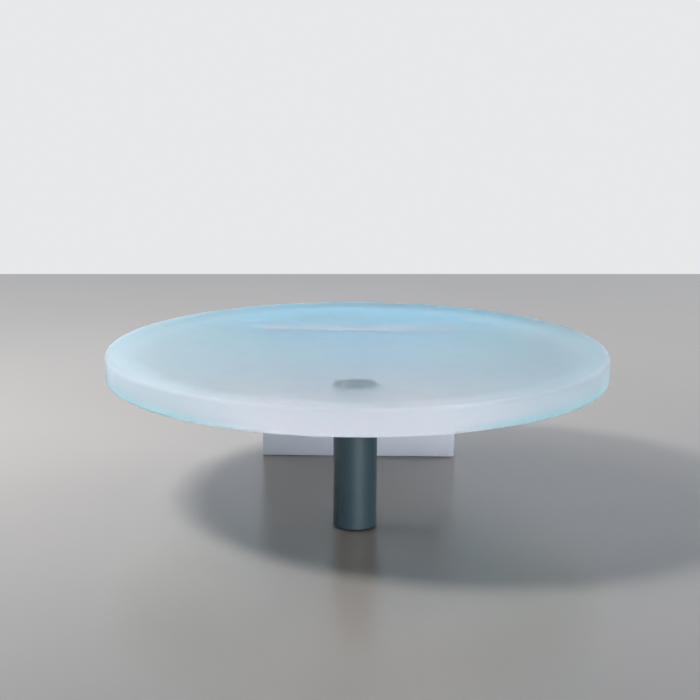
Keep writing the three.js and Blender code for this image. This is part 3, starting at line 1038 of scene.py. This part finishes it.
# %% Dowels
acrylic_tint = (0.95, 0.97, 1.0)
clear_acrylic, tree, shader, place = new_material("clear acrylic rod")
put(tree, mottled(tree, place, acrylic_tint, patch=0.01, low=0.97, high=1.0), shader.inputs["Base Color"])
put(tree, tone_of(tree, place, patch=0.004, low=0.05, high=0.12), shader.inputs["Roughness"])
shader.inputs["IOR"].default_value = 1.49
shader.inputs["Transmission Weight"].default_value = 1.0
dowel_low, dowel_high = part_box("slab_dowel_1")
dowel_radius = (dowel_high.y - dowel_low.y) / 2
dowel_chamfer = 1.5 * mm
dowel_steps = 64


def round_bar(radius, bottom, top, steps, edge_radius, segments):
    """An upright bar on the Z axis with both ends chamfered or rounded."""
    bar = bmesh.new()
    bmesh.ops.create_circle(bar, cap_ends=True, radius=radius, segments=steps, matrix=at(z=bottom))
    raise_faces(bar, top - bottom)
    bevel_edges(bar, level_edges(bar), edge_radius, segments)
    return bar


for i, p in enumerate(dowel_places):
    dowel = round_bar(dowel_radius, dowel_low.z, dowel_high.z, dowel_steps, dowel_chamfer, segments=1)
    move_all(dowel, x=p.x, y=p.y)
    finish_piece(f"clear_dowel_{i + 1}", dowel, clear_acrylic, [f"slab_dowel_{i + 1}"])

# %% [markdown]
# ## The felts
#
# Pressed wool felt keeps the steel and the resin off the floor: a round one in the cap's recess and a
# long one under each end of the slab. Felt is cut with a knife, so its sides are square, but the edge
# frays to a small round. Its look is in the matt, slightly woolly surface: a tangle of fibres as bump,
# flecks of lighter wool, and a little sheen.

# %% Felt
dark_wool = (0.045, 0.046, 0.050)
light_wool = (0.12, 0.12, 0.125)
grey_felt, tree, shader, place = new_material("pressed wool felt")
wool = add(tree, "ShaderNodeTexNoise", noise_dimensions="3D")
wool.inputs["Scale"].default_value = 900.0
wool.inputs["Detail"].default_value = 6.0
wool.inputs["Distortion"].default_value = 1.5
put(tree, place, wool.inputs["Vector"])
flecks = spread(tree, wool.outputs["Fac"], 0.52, 0.68)
flecked = mix_colours(tree, flecks, dark_wool, light_wool)
put(tree, mottled(tree, place, flecked, patch=0.012, low=0.85, high=1.15), shader.inputs["Base Color"])
put(tree, bump(tree, wool.outputs["Fac"], 0.3 * mm, strength=0.8), shader.inputs["Normal"])
shader.inputs["Roughness"].default_value = 0.95
shader.inputs["Specular IOR Level"].default_value = 0.2
shader.inputs["Sheen Weight"].default_value = 0.3

felt_edge = 0.4 * mm
felt_edge_steps = 2
felt_steps = 96
round_low, round_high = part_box("leg_felt")
felt_radius = (round_high.y - round_low.y) / 2
round_felt = round_bar(felt_radius, round_low.z, round_high.z, felt_steps, felt_edge, felt_edge_steps)
move_all(round_felt, y=tube_axis.y)
round_felt_piece = finish_piece("round_felt", round_felt, grey_felt, ["leg_felt"])

felt_corner = 8 * mm
for side in ("left", "right"):
    low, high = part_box(f"slab_felt_{side}")
    strip = block(low, high)
    bevel_edges(strip, upright_edges(strip), felt_corner, edge_steps)
    bevel_edges(strip, level_edges(strip), felt_edge, felt_edge_steps)
    strip_piece = finish_piece(f"{side}_felt_strip", strip, grey_felt, [f"slab_felt_{side}"])

# %% [markdown]
# ## The end cap
#
# The cap keeps its CAD mesh, because that already has the moulding's real shape: the skirt with its crush
# ribs, the webs, the hub and the recess for the felt. Only its finish is made here, black nylon with the
# grain of spark-eroded mould steel and a faint flow pattern.

# %% Nylon
nylon_colour = (0.018, 0.019, 0.021)
black_nylon, tree, shader, place = new_material("moulded black nylon")
put(tree, mottled(tree, place, nylon_colour, patch=0.03, low=0.85, high=1.2), shader.inputs["Base Color"])
put(tree, tone_of(tree, place, patch=0.01, low=0.48, high=0.6), shader.inputs["Roughness"])
put(tree, pebbled(tree, place, size=0.6 * mm, depth=0.05 * mm), shader.inputs["Normal"])
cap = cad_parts["leg_end_cap"]
for cap_slot in cap.material_slots:
    cap_slot.material = black_nylon
still_shown = [name for name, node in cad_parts.items() if not node.hide_render]
print("CAD nodes that show:", still_shown)
